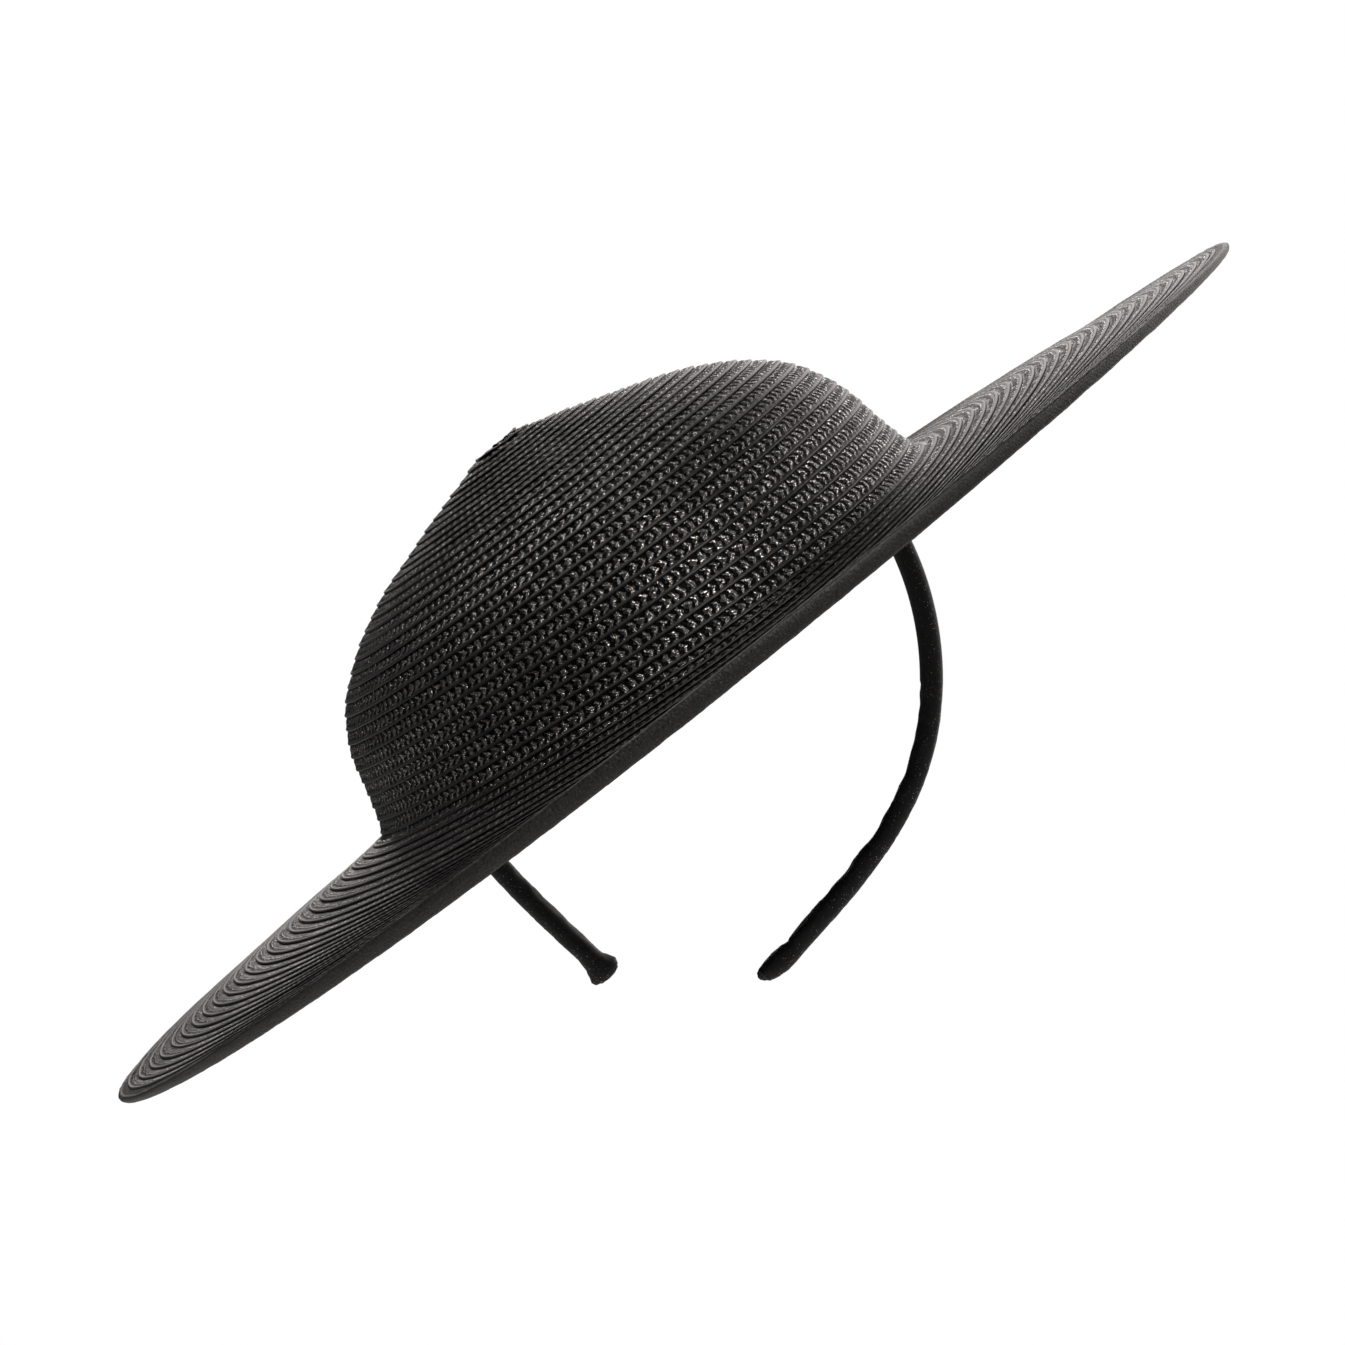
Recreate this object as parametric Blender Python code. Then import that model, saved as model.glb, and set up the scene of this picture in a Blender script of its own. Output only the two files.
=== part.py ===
"""Saucer hat sewn from rows of straw braid, carried by a covered headband.

The hat is turned about its own axis, tilted and set on the headband. The origin is the
inner top of the headband, where the head sits. X runs to the wearer's side, Y away from
the viewer and Z up. All lengths are in metres.
"""
import math

import bmesh
import bpy
from mathutils import Matrix, Vector

# The straw hat, measured from its own axis and from the middle of its rim
RIM_RADIUS = 0.1959
CROWN_RADIUS = 0.0935
CROWN_HEIGHT = 0.0694
BRIM_RISE = 0.0090
STRAW_WALL = 0.002

# The brim dips at the front only, and the power sets how soon the dip starts. The rim winds a
# little up and down, twice round, and the brim stands higher on one side of the crown.
DIP_POWER = 1.4
RIM_TWIST = 0.0015
SIDE_LEAN = 0.0024

# The braid rolled under along the rim: it is thin at the sides and back, and tall at the front
EDGE_WIDTH = 0.0046
EDGE_HALF_HEIGHT = 0.0012
EDGE_FRONT_EXTRA = 0.0016
EDGE_FRONT_DROP = 0.0003

# The coil at the top of the crown
COIL_RADIUS = 0.0112
COIL_WALL = 0.0013
COIL_LAP = 0.0026
COIL_SHIFT = 0.0012
COIL_GAP = 0.0005

# The headband, measured along the middle of its thickness
BAND_HALF_WIDTH = 0.0692
BAND_RISE = 0.0785
BAND_THICKNESS = 0.0067
BAND_WIDTH = 0.0092

# The two arms of the headband: how far the end lies under the widest place and from the
# middle, its slope, and how far the curve reaches on from the widest place and to the end
LEFT_DROP = 0.0835
LEFT_TIP_SPREAD = 0.0206
LEFT_TIP_SLOPE = math.radians(43.0)
LEFT_SIDE_REACH = 0.040
LEFT_TIP_REACH = 0.052
RIGHT_DROP = 0.0849
RIGHT_TIP_SPREAD = 0.0216
RIGHT_TIP_SLOPE = math.radians(47.0)
RIGHT_SIDE_REACH = 0.034
RIGHT_TIP_REACH = 0.042

# How the hat sits on the headband
HAT_TILT = math.radians(37.5)
HAT_SIDE_SHIFT = -0.001
SEAT_GAP = 0.0004
GAP = 0.0003

TURN_STEPS = 76
ARCH_STEPS = 26
ARM_STEPS = 20
SECTION_STEPS = 12

# Outer face of the crown: share of the crown's radius, share of its height, and share of
# the dip, twist and lean that its foot has
CROWN_PROFILE = [
    ("foot", 1.000, 0.000, 1.00),
    ("neck", 0.978, 0.057, 0.92),
    ("side", 0.952, 0.185, 0.62),
    ("upper side", 0.925, 0.342, 0.30),
    ("shoulder start", 0.880, 0.470, 0.10),
    ("shoulder", 0.834, 0.556, 0.00),
    ("shoulder end", 0.787, 0.613, 0.00),
    ("slope", 0.695, 0.705, 0.00),
    ("middle slope", 0.561, 0.798, 0.00),
    ("upper slope", 0.428, 0.860, 0.00),
    ("cone", 0.289, 0.922, 0.00),
    ("cone end", 0.156, 0.973, 0.00),
    ("coil seat", 0.118, 0.981, 0.00),
]

# Middle of the brim's wall: share of the way from the crown to the rim, share of the rise
# at the sides and back, share of it at the front, share of the rim's twist, and share of the lean
BRIM_PROFILE = [
    ("foot", 0.000, 1.000, 0.552, -0.85, 1.00),
    ("spring", 0.025, 0.945, 0.378, -0.85, 0.96),
    ("inner dish", 0.060, 0.900, 0.164, -0.85, 0.92),
    ("dish", 0.100, 0.865, -0.031, -0.85, 0.88),
    ("dish floor", 0.180, 0.810, -0.286, -0.75, 0.75),
    ("outer dish", 0.250, 0.755, -0.470, -0.60, 0.62),
    ("inner middle", 0.330, 0.690, -0.542, -0.40, 0.50),
    ("middle", 0.430, 0.600, -0.531, -0.20, 0.42),
    ("outer middle", 0.560, 0.470, -0.450, 0.10, 0.40),
    ("outer slope", 0.700, 0.290, -0.317, 0.45, 0.32),
    ("rim slope", 0.860, 0.110, -0.143, 0.80, 0.16),
    ("rim", 1.000, 0.000, 0.000, 1.00, 0.00),
]

# Ends of the headband: distance from the end, reach towards the head, reach away from it
# (shares of the thickness), and width (share of the band's width)
LEFT_END = [
    ("pinch", 1.25, 0.50, 0.54, 1.00),
    ("flare start", 0.69, 0.63, 0.71, 0.98),
    ("flare", 0.42, 0.70, 0.80, 0.90),
    ("corner", 0.28, 0.66, 0.79, 0.84),
    ("rounding", 0.12, 0.52, 0.56, 0.66),
    ("end", 0.00, 0.26, 0.22, 0.34),
]
RIGHT_END = [
    ("before notch", 2.20, 0.44, 0.55, 1.00),
    ("notch", 1.98, 0.36, 0.55, 0.95),
    ("wrap", 1.64, 0.47, 0.55, 1.00),
    ("wrap middle", 1.12, 0.49, 0.52, 0.98),
    ("taper", 0.64, 0.49, 0.42, 0.90),
    ("rounding", 0.32, 0.47, 0.29, 0.74),
    ("lip", 0.12, 0.40, 0.10, 0.50),
    ("end", 0.00, 0.26, -0.04, 0.26),
]

# Puckers of the cover on the inner side of the right arm: share of the arm's length from
# its widest place to its end, and reach towards the head as a share of the thickness
RIGHT_PUCKERS = [
    ("seam start", 0.20, 0.50),
    ("first dent", 0.30, 0.46),
    ("fold", 0.38, 0.49),
    ("second dent", 0.47, 0.42),
    ("bulge", 0.54, 0.53),
    ("third dent", 0.61, 0.47),
    ("last fold", 0.67, 0.50),
]


def clear_scene():
    """Removes whatever the file already holds."""
    for item in list(bpy.data.objects):
        bpy.data.objects.remove(item, do_unlink=True)


def make_material(name, colour, roughness, metallic):
    """A plain finish for one piece."""
    material = bpy.data.materials.new(name)
    material.use_nodes = True
    shader = material.node_tree.nodes["Principled BSDF"]
    shader.inputs["Base Color"].default_value = (*colour, 1.0)
    shader.inputs["Roughness"].default_value = roughness
    shader.inputs["Metallic"].default_value = metallic
    return material


def add_piece(name, bm, material, parent=None):
    """Turns a finished bmesh into a named object, shaded smooth."""
    bmesh.ops.recalc_face_normals(bm, faces=bm.faces)
    mesh = bpy.data.meshes.new(name)
    bm.to_mesh(mesh)
    bm.free()
    mesh.shade_smooth()
    mesh.set_sharp_from_angle(angle=math.radians(50.0))
    mesh.materials.append(material)
    piece = bpy.data.objects.new(name, mesh)
    bpy.context.scene.collection.objects.link(piece)
    piece.parent = parent
    return piece


def height_at(points, place):
    """Second value of a list of pairs at a place between its first values."""
    ordered = sorted(points)
    for (low, first), (high, second) in zip(ordered, ordered[1:]):
        if low <= place <= high and high > low:
            return first + (second - first) * (place - low) / (high - low)
    return ordered[0][1] if place < ordered[0][0] else ordered[-1][1]


def front_share(angle):
    """Share of the front's shape at an angle about the hat's axis: none at the sides and back."""
    return max(-math.sin(angle), 0.0) ** DIP_POWER


def lift_at(radius, height, angle):
    """How far a point of the straw lies over its place in the turned shape, mostly below it."""
    dip = BRIM_RISE * front_share(angle)
    twist = -RIM_TWIST * math.sin(2.0 * angle)
    lean = -SIDE_LEAN * math.cos(angle)
    reach = RIM_RADIUS - CROWN_RADIUS
    brim = [(CROWN_RADIUS + out * reach, (front - side) * dip + turn_share * twist + lean_share * lean)
            for _, out, side, front, turn_share, lean_share in BRIM_PROFILE]
    if radius >= CROWN_RADIUS:
        return height_at(brim, radius)
    top_of_brim = BRIM_RISE + STRAW_WALL / 2.0
    crown = [(top_of_brim + up * CROWN_HEIGHT, share * brim[0][1]) for _, _, up, share in CROWN_PROFILE]
    return height_at(crown, height)


def warped(point):
    """Gives the turned straw its dip at the front, its twist and its lean."""
    radius = math.hypot(point.x, point.y)
    angle = math.atan2(point.y, point.x)
    return Vector((point.x, point.y, point.z + lift_at(radius, point.z, angle)))


def turned(profile):
    """Spins a closed outline of radius and height pairs about the hat's axis."""
    bm = bmesh.new()
    loop = [bm.verts.new((radius, 0.0, height)) for radius, height in profile]
    edges = [bm.edges.new((loop[i - 1], loop[i])) for i in range(len(loop))]
    bmesh.ops.spin(bm, geom=loop + edges, cent=(0.0, 0.0, 0.0), axis=(0.0, 0.0, 1.0),
                   angle=2.0 * math.pi, steps=TURN_STEPS, use_merge=True)
    for vert in bm.verts:
        vert.co = warped(vert.co)
    return bm


def offset_inwards(points, distance):
    """Moves an open outline, which climbs from the foot to the tip, towards the hollow."""
    moved = []
    for index, (radius, height) in enumerate(points):
        before = points[max(index - 1, 0)]
        after = points[min(index + 1, len(points) - 1)]
        along = Vector((after[0] - before[0], after[1] - before[1])).normalized()
        moved.append((radius - along.y * distance, height + along.x * distance))
    return moved


def brim_height(radius):
    """Height of the middle of the brim's wall at a radius, at the sides of the hat."""
    reach = RIM_RADIUS - CROWN_RADIUS
    points = [(CROWN_RADIUS + out * reach, side * BRIM_RISE) for _, out, side, *_ in BRIM_PROFILE]
    return height_at(points, radius)


def crown_outer():
    """Outer face of the crown, from its foot beside the brim to the hole under the coil."""
    top_of_brim = BRIM_RISE + STRAW_WALL / 2.0
    points = [(CROWN_RADIUS, top_of_brim - STRAW_WALL)]
    points += [(CROWN_RADIUS * out, top_of_brim + CROWN_HEIGHT * up) for _, out, up, _ in CROWN_PROFILE]
    points.append((COIL_RADIUS - COIL_LAP, points[-1][1]))
    return points


def crown_inner():
    """Inner face of the crown, one wall inside the outer face."""
    return offset_inwards(crown_outer(), STRAW_WALL)


def make_crown(material, parent):
    outline = crown_outer() + crown_inner()[::-1]
    return add_piece("crown", turned(outline), material, parent)


def make_brim(material, parent):
    start = CROWN_RADIUS + GAP
    end = RIM_RADIUS - EDGE_WIDTH - GAP
    reach = RIM_RADIUS - CROWN_RADIUS
    radii = [CROWN_RADIUS + out * reach for _, out, *_ in BRIM_PROFILE]
    radii = [start] + [radius for radius in radii if start < radius < end] + [end]
    top = [(radius, brim_height(radius) + STRAW_WALL / 2.0) for radius in radii]
    bottom = [(radius, height - STRAW_WALL) for radius, height in top]
    return add_piece("brim", turned(top + bottom[::-1]), material, parent)


def make_rim_edge(material, parent):
    """A ring of rolled braid outside the brim's end, rounded on its outer side."""
    inner = RIM_RADIUS - EDGE_WIDTH
    middle = brim_height(inner)
    corner = EDGE_WIDTH * 0.18
    outline = [(inner, middle - EDGE_HALF_HEIGHT + corner), (inner, middle + EDGE_HALF_HEIGHT - corner),
               (inner + corner, middle + EDGE_HALF_HEIGHT)]
    round_steps = 6
    depth = EDGE_HALF_HEIGHT
    for step in range(round_steps + 1):
        angle = math.pi / 2.0 - math.pi * step / round_steps
        outline.append((RIM_RADIUS - depth + depth * math.cos(angle), EDGE_HALF_HEIGHT * math.sin(angle)))
    outline.append((inner + corner, middle - EDGE_HALF_HEIGHT))
    bm = turned(outline)
    for vert in bm.verts:
        front = front_share(math.atan2(vert.co.y, vert.co.x))
        level = warped(Vector((vert.co.x, vert.co.y, 0.0))).z
        stretch = 1.0 + EDGE_FRONT_EXTRA / EDGE_HALF_HEIGHT * front
        vert.co.z = level + (vert.co.z - level) * stretch - EDGE_FRONT_DROP * front
    return add_piece("rim_edge", bm, material, parent)


def make_tip_coil(material, parent):
    """A small round cap of wound braid that lies on the edge of the crown's top hole."""
    bm = bmesh.new()
    rings = [
        (0.00, 0.10),
        (0.72, 0.00),
        (0.98, -0.05),
        (1.00, 0.45),
        (0.84, 0.92),
        (0.45, 1.10),
        (0.00, 1.15),
    ]
    seat = max(height for _, height in crown_outer()) + COIL_GAP
    crown = crown_outer()
    steps = TURN_STEPS // 4
    loops = []
    for out, up in rings:
        radius = COIL_RADIUS * out
        count = steps if out > 0.0 else 1
        loop = []
        for step in range(count):
            angle = 2.0 * math.pi * step / count
            x = COIL_SHIFT * -1.0 + radius * math.cos(angle)
            y = radius * math.sin(angle)
            drop = seat - COIL_GAP - height_at(crown, max(math.hypot(x, y), COIL_RADIUS - COIL_LAP))
            loop.append(bm.verts.new((x, y, seat - drop + COIL_WALL * up)))
        loops.append(loop)
    for low, high in zip(loops, loops[1:]):
        close_between(bm, low, high)
    return add_piece("tip_coil", bm, material, parent)


def close_between(bm, low, high):
    """Joins two rings of points, either of which may be a single point."""
    count = max(len(low), len(high))
    for index in range(count):
        corner = [low[index % len(low)], low[(index + 1) % len(low)],
                  high[(index + 1) % len(high)], high[index % len(high)]]
        bm.faces.new(list(dict.fromkeys(corner)))


def bezier(points, share):
    """Point on a cubic curve, and its direction."""
    a, b, c, d = points
    rest = 1.0 - share
    place = a * rest ** 3 + b * 3.0 * rest ** 2 * share + c * 3.0 * rest * share ** 2 + d * share ** 3
    along = (b - a) * rest ** 2 + (c - b) * 2.0 * rest * share + (d - c) * share ** 2
    return place, along.normalized()


def band_middle():
    """Height of the widest place of the headband."""
    return -(BAND_RISE - BAND_THICKNESS / 2.0)


def arm_curve(side):
    """Control points of one arm, from its widest place to its end."""
    left = (LEFT_DROP, LEFT_TIP_SPREAD, LEFT_TIP_SLOPE, LEFT_SIDE_REACH, LEFT_TIP_REACH)
    right = (RIGHT_DROP, RIGHT_TIP_SPREAD, RIGHT_TIP_SLOPE, RIGHT_SIDE_REACH, RIGHT_TIP_REACH)
    drop, spread, slope, side_reach, tip_reach = right if side > 0 else left
    wide = Vector((side * BAND_HALF_WIDTH, 0.0, band_middle()))
    end = Vector((side * spread, 0.0, band_middle() - drop))
    back = Vector((side * math.cos(slope), 0.0, math.sin(slope)))
    return [wide, wide - Vector((0.0, 0.0, side_reach)), end + back * tip_reach, end]


def table_value(rows, place, column):
    """Value of a table of rows (name, place, values), between its rows."""
    ordered = sorted(rows, key=lambda row: row[1])
    if place <= ordered[0][1]:
        return ordered[0][column]
    for low, high in zip(ordered, ordered[1:]):
        if place <= high[1]:
            share = (place - low[1]) / (high[1] - low[1])
            return low[column] + (high[column] - low[column]) * share
    return ordered[-1][column]


def arm_stations(side):
    """Places along one arm: point, direction, reach inwards, reach outwards, width."""
    curve = arm_curve(side)
    ends = RIGHT_END if side > 0 else LEFT_END
    fine = 400
    points = [bezier(curve, step / fine)[0] for step in range(fine + 1)]
    lengths = [0.0]
    for before, after in zip(points, points[1:]):
        lengths.append(lengths[-1] + (after - before).length)
    total = lengths[-1]
    end_start = total - ends[0][1] * BAND_THICKNESS
    places = [end_start * step / ARM_STEPS for step in range(1, ARM_STEPS)]
    places += [total - row[1] * BAND_THICKNESS for row in ends]
    stations = []
    for place in places:
        index = min(range(fine + 1), key=lambda i: abs(lengths[i] - place))
        point, along = bezier(curve, index / fine)
        from_end = (total - place) / BAND_THICKNESS
        inwards = table_value(ends, from_end, 2)
        outwards = table_value(ends, from_end, 3)
        width = table_value(ends, from_end, 4)
        if from_end > ends[0][1]:
            inwards, outwards, width = 0.5, 0.5, 1.0
            if side > 0:
                inwards = table_value(RIGHT_PUCKERS, place / total, 2)
        stations.append((point, along, inwards, outwards, width))
    return stations


def band_stations():
    """Places along the whole headband, from the left end over the top to the right end."""
    left = [(point, -along, inwards, outwards, width)
            for point, along, inwards, outwards, width in arm_stations(-1.0)[::-1]]
    arch = []
    for step in range(ARCH_STEPS + 1):
        angle = math.pi * (1.0 - step / ARCH_STEPS)
        point = Vector((BAND_HALF_WIDTH * math.cos(angle), 0.0,
                        band_middle() + BAND_RISE * math.sin(angle)))
        along = Vector((BAND_HALF_WIDTH * math.sin(angle), 0.0, -BAND_RISE * math.cos(angle)))
        arch.append((point, along.normalized(), 0.5, 0.5, 1.0))
    return left + arch + arm_stations(1.0)


def rounded(value):
    """Fills an ellipse out a little towards a rectangle."""
    return math.copysign(abs(value) ** 0.8, value)


def band_rings():
    """Corner points of the headband's section at each place along it."""
    rings = []
    for point, along, inwards, outwards, width in band_stations():
        outer = Vector((0.0, 1.0, 0.0)).cross(along) * -1.0
        centre = point + outer * BAND_THICKNESS * (outwards - inwards) / 2.0
        half_depth = BAND_THICKNESS * (outwards + inwards) / 2.0
        half_width = BAND_WIDTH * width / 2.0
        ring = []
        for step in range(SECTION_STEPS):
            angle = 2.0 * math.pi * (step + 0.5) / SECTION_STEPS
            depth = rounded(math.cos(angle)) / rounded(math.cos(math.pi / SECTION_STEPS))
            across = rounded(math.sin(angle))
            ring.append(centre + outer * half_depth * depth + Vector((0.0, half_width * across, 0.0)))
        rings.append(ring)
    return rings


def make_headband(rings, material):
    bm = bmesh.new()
    loops = [[bm.verts.new(point) for point in ring] for ring in rings]
    for low, high in zip(loops, loops[1:]):
        close_between(bm, low, high)
    bm.faces.new(loops[0])
    bm.faces.new(loops[-1])
    return add_piece("headband", bm, material)


def hat_place(rings):
    """Where the hat sits: its inside rests on the headband, along the hat's own axis."""
    turn = Matrix.Rotation(-HAT_TILT, 4, "Y")
    start = Vector((0.0, 0.0, band_middle())) + turn @ Vector((HAT_SIDE_SHIFT, 0.0, 0.0))
    to_hat = (Matrix.Translation(start) @ turn).inverted()
    inside = crown_inner()
    lift = max(local.z - height_at(inside, math.hypot(local.x, local.y))
               for local in (to_hat @ point for ring in rings for point in ring)
               if local.z > 0.0)
    return start + turn @ Vector((0.0, 0.0, lift + SEAT_GAP))


def build():
    clear_scene()
    braid = make_material("black braid", (0.035, 0.034, 0.034), 0.42, 0.0)
    fold = make_material("black rim braid", (0.022, 0.021, 0.021), 0.50, 0.0)
    cover = make_material("black band cover", (0.010, 0.010, 0.010), 0.55, 0.0)
    rings = band_rings()
    make_headband(rings, cover)
    hat = bpy.data.objects.new("hat", None)
    bpy.context.scene.collection.objects.link(hat)
    hat.location = hat_place(rings)
    hat.rotation_euler = (0.0, -HAT_TILT, 0.0)
    make_crown(braid, hat)
    make_brim(braid, hat)
    make_rim_edge(fold, hat)
    make_tip_coil(braid, hat)
    bpy.context.view_layer.update()


build()
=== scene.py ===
import bisect
import math

import bmesh
import bpy
from mathutils import Matrix, Vector, geometry, noise


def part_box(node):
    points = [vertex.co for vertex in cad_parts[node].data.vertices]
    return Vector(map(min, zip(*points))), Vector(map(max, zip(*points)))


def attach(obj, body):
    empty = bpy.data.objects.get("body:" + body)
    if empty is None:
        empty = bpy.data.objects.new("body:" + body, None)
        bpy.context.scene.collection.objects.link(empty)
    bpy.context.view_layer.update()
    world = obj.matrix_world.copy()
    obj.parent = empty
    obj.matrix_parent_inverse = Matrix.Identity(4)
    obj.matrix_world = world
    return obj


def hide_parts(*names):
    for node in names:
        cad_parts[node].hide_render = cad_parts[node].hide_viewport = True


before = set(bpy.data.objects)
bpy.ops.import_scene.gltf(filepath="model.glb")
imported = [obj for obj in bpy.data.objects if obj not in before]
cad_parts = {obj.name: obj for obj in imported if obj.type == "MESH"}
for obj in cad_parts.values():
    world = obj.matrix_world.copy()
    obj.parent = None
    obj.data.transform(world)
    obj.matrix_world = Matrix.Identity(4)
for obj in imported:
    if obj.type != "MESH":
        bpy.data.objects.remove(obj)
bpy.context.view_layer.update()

# The studio: a round pale floor far under the hat, a white room and soft light panels.
# The hat is held up as a head holds it, so that nothing touches the floor.
FLOOR_HEIGHT = -0.46
FLOOR_RADIUS = 1.05
FLOOR_COLOUR = (0.88, 0.88, 0.88, 1.0)
ROOM_LIGHT_COLOUR = (0.06, 0.06, 0.06, 1.0)
ROOM_SEEN_COLOUR = (1.0, 1.0, 1.0, 1.0)
HAT_MIDDLE = Vector((0.0, 0.0, -0.07))
LIGHT_COLOUR = (1.0, 0.95, 0.92)
# Name, place, width and height of the panel, power in watts
LIGHT_PANELS = [
    ("key", (1.4, 0.3, 1.3), (0.8, 0.8), 8.5),
    ("overhead", (-1.2, 0.0, 1.45), (0.8, 0.8), 6.5),
    ("top back", (-1.0, 1.2, 1.35), (0.8, 0.8), 4.0),
    ("glints", (0.35, -1.50, 1.20), (0.4, 0.4), 12.5),
    ("right panel", (1.9, -0.2, 0.3), (0.7, 1.3), 3.5),
    ("back wall", (0.7, 1.9, 0.5), (3.0, 2.4), 44.0),
]

floor_bm = bmesh.new()
bmesh.ops.create_circle(floor_bm, cap_ends=True, segments=96, radius=FLOOR_RADIUS)
bmesh.ops.translate(floor_bm, verts=floor_bm.verts, vec=(0.0, 0.0, FLOOR_HEIGHT))
floor_mesh = bpy.data.meshes.new("floor")
floor_bm.to_mesh(floor_mesh)
floor_bm.free()
floor = bpy.data.objects.new("floor", floor_mesh)
bpy.context.scene.collection.objects.link(floor)
floor_paint = bpy.data.materials.new("floor paint")
floor_paint.use_nodes = True
floor_shader = floor_paint.node_tree.nodes["Principled BSDF"]
floor_shader.inputs["Base Color"].default_value = FLOOR_COLOUR
floor_shader.inputs["Roughness"].default_value = 0.9
floor_mesh.materials.append(floor_paint)

for name, place, size, power in LIGHT_PANELS:
    lamp = bpy.data.lights.new(name, "AREA")
    lamp.shape = "RECTANGLE"
    lamp.size, lamp.size_y = size
    lamp.energy = power
    lamp.color = LIGHT_COLOUR
    holder = bpy.data.objects.new(name, lamp)
    holder.location = place
    holder.rotation_euler = (HAT_MIDDLE - Vector(place)).to_track_quat("-Z", "Y").to_euler()
    holder.visible_camera = False
    bpy.context.scene.collection.objects.link(holder)

# The camera sees a white room, while the hat gets only a little light from it.
world = bpy.data.worlds.new("white room")
bpy.context.scene.world = world
world.use_nodes = True
room = world.node_tree
room_light = room.nodes["Background"]
room_seen = room.nodes.new("ShaderNodeBackground")
room_light.inputs["Color"].default_value = ROOM_LIGHT_COLOUR
room_seen.inputs["Color"].default_value = ROOM_SEEN_COLOUR
room_mix = room.nodes.new("ShaderNodeMixShader")
room_ray = room.nodes.new("ShaderNodeLightPath")
room.links.new(room_ray.outputs["Is Camera Ray"], room_mix.inputs["Fac"])
room.links.new(room_light.outputs["Background"], room_mix.inputs[1])
room.links.new(room_seen.outputs["Background"], room_mix.inputs[2])
room.links.new(room_mix.outputs["Shader"], room.nodes["World Output"].inputs["Surface"])
bpy.context.scene.view_settings.view_transform = "Standard"

# The camera stands 1.9 m off, a little above the hat, and looks down by 3.9 degrees at what
# is the middle of the photo. The photo is 378 mm wide at the hat.
PHOTO_WIDTH = 0.3778
PHOTO_MIDDLE = Vector((-0.0035, 0.0, -0.0730))
CAMERA_DISTANCE = 1.9
CAMERA_RISE = math.radians(3.9)

camera_data = bpy.data.cameras.new("camera")
camera_data.sensor_width = 36.0
camera_data.lens = camera_data.sensor_width * CAMERA_DISTANCE / PHOTO_WIDTH
camera = bpy.data.objects.new("camera", camera_data)
camera_way = Vector((0.0, -math.cos(CAMERA_RISE), math.sin(CAMERA_RISE)))
camera.location = PHOTO_MIDDLE + CAMERA_DISTANCE * camera_way
camera.rotation_euler = (math.pi / 2.0 - CAMERA_RISE, 0.0, 0.0)
bpy.context.scene.collection.objects.link(camera)
bpy.context.scene.camera = camera

# Tip of the crown: one long straw braid starts here, wound into a small flat coil and sewn
# to itself. 4 mm of each turn show. Its outer edge lies over the next turn like a tile.
MILLIMETRE = 0.001
MERGE_DISTANCE = 0.000002
HAT_TILT = math.radians(37.5)
RIM_RADIUS = 0.1959
CROWN_RADIUS = 0.0935
CROWN_HEIGHT = 0.0694
BRIM_RISE = 0.0090
STRAW_WALL = 0.002
RIM_TWIST = 0.0015
SIDE_LEAN = 0.0024
# How quickly the dip at the front fades towards the sides
DIP_POWER = 1.4
# What the rolled edge takes of the brim's width
ROLL_WIDTH = 0.0041
ROW_PITCH = 0.0041
TIP_ROWS = 3
# The crown's foot comes this share of a turn after its last row
FOOT_PHASE = 0.15
STITCH = 0.0028
STITCH_DEPTH = 0.00020
# How many stitches a strand runs on while it crosses the row
STITCH_LEAN = 1.25
FEWEST_STITCHES = 8
# Stitches by which the pattern starts later in each row
PATTERN_SHIFT = 7.0
# Columns of the mesh in each stitch
TIP_COLUMNS = 6

# Share of the crown's radius, share of its height, and share of the dip, twist and lean that
# its foot has
CROWN_OUTLINE = [
    ("middle", 0.000, 1.004, 0.00),
    ("coil", 0.070, 1.006, 0.00),
    ("coil edge", 0.118, 0.990, 0.00),
    ("cone end", 0.156, 0.973, 0.00),
    ("cone", 0.289, 0.922, 0.00),
    ("upper slope", 0.428, 0.860, 0.00),
    ("middle slope", 0.561, 0.798, 0.00),
    ("slope", 0.695, 0.705, 0.00),
    ("shoulder end", 0.787, 0.613, 0.00),
    ("shoulder", 0.834, 0.556, 0.00),
    ("shoulder start", 0.880, 0.470, 0.10),
    ("upper side", 0.925, 0.342, 0.30),
    ("side", 0.952, 0.185, 0.62),
    ("neck", 0.978, 0.057, 0.92),
    ("foot", 1.000, 0.000, 1.00),
]
# Share of the way from the crown to the rim, share of the brim's rise at the sides and
# back, share of it at the front, share of the rim's twist, and share of the lean to one side
BRIM_OUTLINE = [
    ("foot", 0.000, 1.000, 0.552, -0.85, 1.00),
    ("spring", 0.025, 0.945, 0.378, -0.85, 0.96),
    ("inner dish", 0.060, 0.900, 0.164, -0.85, 0.92),
    ("dish", 0.100, 0.865, -0.031, -0.85, 0.88),
    ("dish floor", 0.180, 0.810, -0.286, -0.75, 0.75),
    ("outer dish", 0.250, 0.755, -0.470, -0.60, 0.62),
    ("inner middle", 0.330, 0.690, -0.542, -0.40, 0.50),
    ("middle", 0.430, 0.600, -0.531, -0.20, 0.42),
    ("outer middle", 0.560, 0.470, -0.450, 0.10, 0.40),
    ("outer slope", 0.700, 0.290, -0.317, 0.45, 0.32),
    ("rim slope", 0.860, 0.110, -0.143, 0.80, 0.16),
    ("rim", 1.000, 0.000, 0.000, 1.00, 0.00),
]
# Points between two rows of an outline, and outlines from the sides' shape to the front's
OUTLINE_STEPS = 16
CUTS = 8
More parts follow.
